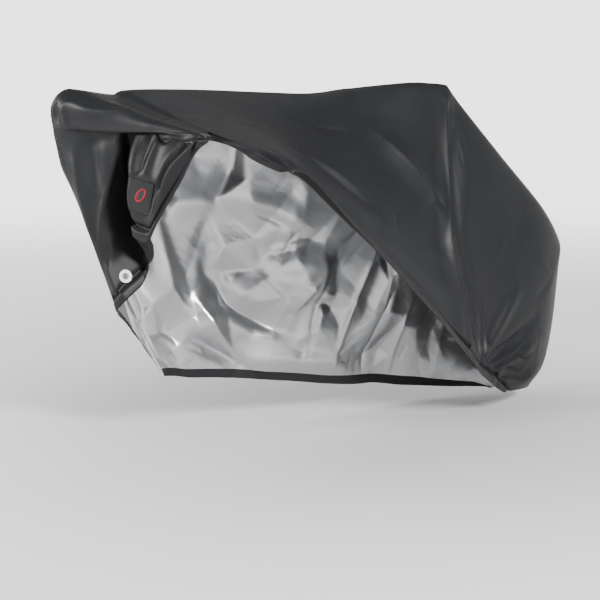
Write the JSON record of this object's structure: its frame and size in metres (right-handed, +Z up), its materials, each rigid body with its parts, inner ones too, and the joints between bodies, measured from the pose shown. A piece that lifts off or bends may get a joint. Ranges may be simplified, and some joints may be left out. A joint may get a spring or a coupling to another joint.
{
  "type": "bicycle cover",
  "caption": "Coated cloth cover draped over a bicycle, hollow and open below, drawn up at the front with a bound lock hole in a sewn patch.",
  "frame": {"origin": "under the top of the cover, on the underside of the cloth where the saddle carries it", "axes": "+X towards the rear wheel, +Y towards the far side of the bicycle, +Z up"},
  "size_m": [1.8067, 0.6744, 1.053],
  "materials": {
    "coated_cloth": "black water-repellent weave, silver coated inside",
    "red_binding": "satin binding tape",
    "pale_ring": "satin"
  },
  "bodies": {
    "root": {"near_panel": "coated_cloth", "far_panel": "coated_cloth", "lock_hole_patch": "coated_cloth", "lock_hole_rim": "red_binding", "second_lock_hole_rim": "pale_ring"}
  },
  "joints": []
}
